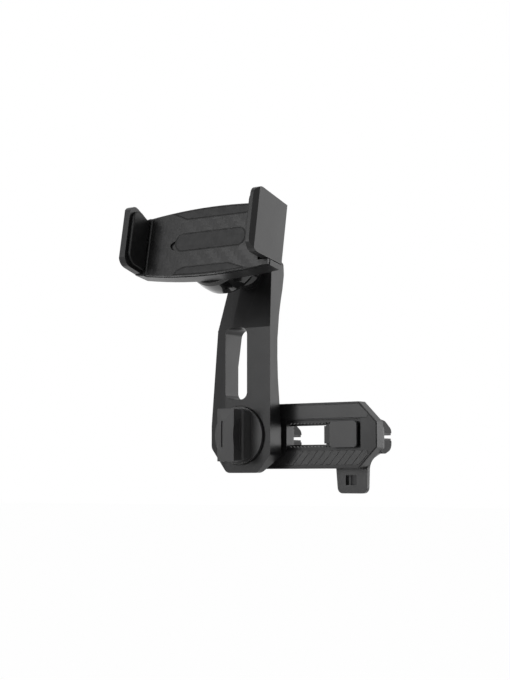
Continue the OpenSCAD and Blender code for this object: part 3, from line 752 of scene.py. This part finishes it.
def seen_share(tree):
    """One for a ray from the camera, from a reflection or through glass, and zero for other light."""
    path = add(tree, "ShaderNodeLightPath")
    seen = math_node(tree, "MAXIMUM", path.outputs["Is Camera Ray"], path.outputs["Is Glossy Ray"])
    return math_node(tree, "MAXIMUM", seen, path.outputs["Is Transmission Ray"])


def pale_world(fill):
    world = bpy.data.worlds.new("pale_surround")
    bpy.context.scene.world = world
    world.use_nodes = True
    tree = world.node_tree
    tree.nodes.clear()
    white = add(tree, "ShaderNodeBackground", {"Color": WHITE, "Strength": 1.0})
    even = add(tree, "ShaderNodeBackground", {"Color": WHITE, "Strength": fill})
    links = {0: seen_share(tree), 1: even.outputs[0], 2: white.outputs[0]}
    mixed = add(tree, "ShaderNodeMixShader", links)
    add(tree, "ShaderNodeOutputWorld", {"Surface": mixed.outputs[0]})


def pale_floor(height):
    made = bmesh.new()
    bmesh.ops.create_grid(made, x_segments=1, y_segments=1, size=FLOOR_HALF_SIDE)
    for vertex in made.verts:
        vertex.co.z = height
    mesh = bpy.data.meshes.new("floor")
    made.to_mesh(mesh)
    made.free()
    material = bpy.data.materials.new("floor_paper")
    material.use_nodes = True
    tree = material.node_tree
    tree.nodes.clear()
    paper = add(tree, "ShaderNodeBsdfDiffuse", {"Color": FLOOR_COLOUR})
    glow = add(tree, "ShaderNodeEmission", {"Color": WHITE, "Strength": 1.0})
    share = math_node(tree, "MULTIPLY", seen_share(tree), FLOOR_GLOW)
    mixed = add(tree, "ShaderNodeMixShader", {0: share, 1: paper.outputs[0], 2: glow.outputs[0]})
    add(tree, "ShaderNodeOutputMaterial", {"Surface": mixed.outputs[0]})
    mesh.materials.append(material)
    floor = bpy.data.objects.new("floor", mesh)
    bpy.context.scene.collection.objects.link(floor)


class MOUNT_OT_stage(bpy.types.Operator):
    """Sets the floor, the lamps and the camera"""
    bl_idname = "mount.stage"
    bl_label = "Stage"

    def execute(self, context):
        scene, s = context.scene, context.scene.mount_stage
        scene.view_settings.view_transform = "Standard"
        pale_world(s.fill)
        pale_floor(-FLOOR_DROP)
        for name, azimuth, elevation, size, power in LAMPS:
            softbox(name, azimuth, elevation, size, getattr(s, power))
        data = bpy.data.cameras.new("camera")
        data.sensor_fit = "AUTO"
        data.sensor_width = SENSOR
        data.lens = SENSOR * s.focal_length
        data.clip_start = NEAR_CLIP
        camera = bpy.data.objects.new("camera", data)
        level = math.cos(s.camera_pitch)
        forward = Vector((-math.sin(s.camera_turn) * level, math.cos(s.camera_turn) * level,
                          math.sin(s.camera_pitch)))
        camera.location = s.camera_place
        camera.rotation_euler = forward.to_track_quat("-Z", "Y").to_euler()
        scene.collection.objects.link(camera)
        scene.camera = camera
        return {"FINISHED"}


PIECES = (MOUNT_OT_rail, MOUNT_OT_clips, MOUNT_OT_slider, MOUNT_OT_arm, MOUNT_OT_knob,
          MOUNT_OT_ball_joint, MOUNT_OT_cradle, MOUNT_OT_pads, MOUNT_OT_hardware, MOUNT_OT_stage)


class MOUNT_PT_panel(bpy.types.Panel):
    """Lists the pieces and their settings"""
    bl_idname = "MOUNT_PT_panel"
    bl_label = "Phone Mount"
    bl_space_type = "VIEW_3D"
    bl_region_type = "UI"
    bl_category = "Phone Mount"

    def draw(self, context):
        for piece in PIECES:
            self.layout.operator(piece.bl_idname)
        scene = context.scene
        for group in (scene.mount_finishes, scene.mount_edges, scene.mount_stage):
            box = self.layout.box()
            for name in group.__annotations__:
                box.prop(group, name)


CLASSES = (MountFinishes, MountEdges, MountStage, *PIECES, MOUNT_PT_panel)


def register():
    for cls in CLASSES:
        bpy.utils.register_class(cls)
    bpy.types.Scene.mount_finishes = PointerProperty(type=MountFinishes)
    bpy.types.Scene.mount_edges = PointerProperty(type=MountEdges)
    bpy.types.Scene.mount_stage = PointerProperty(type=MountStage)


def unregister():
    del bpy.types.Scene.mount_stage
    del bpy.types.Scene.mount_edges
    del bpy.types.Scene.mount_finishes
    for cls in reversed(CLASSES):
        bpy.utils.unregister_class(cls)


def main():
    register()
    make_finishes()
    for piece in PIECES:
        group, name = piece.bl_idname.split(".")
        getattr(getattr(bpy.ops, group), name)()
    bpy.context.view_layer.update()


if __name__ == "__main__":
    main()
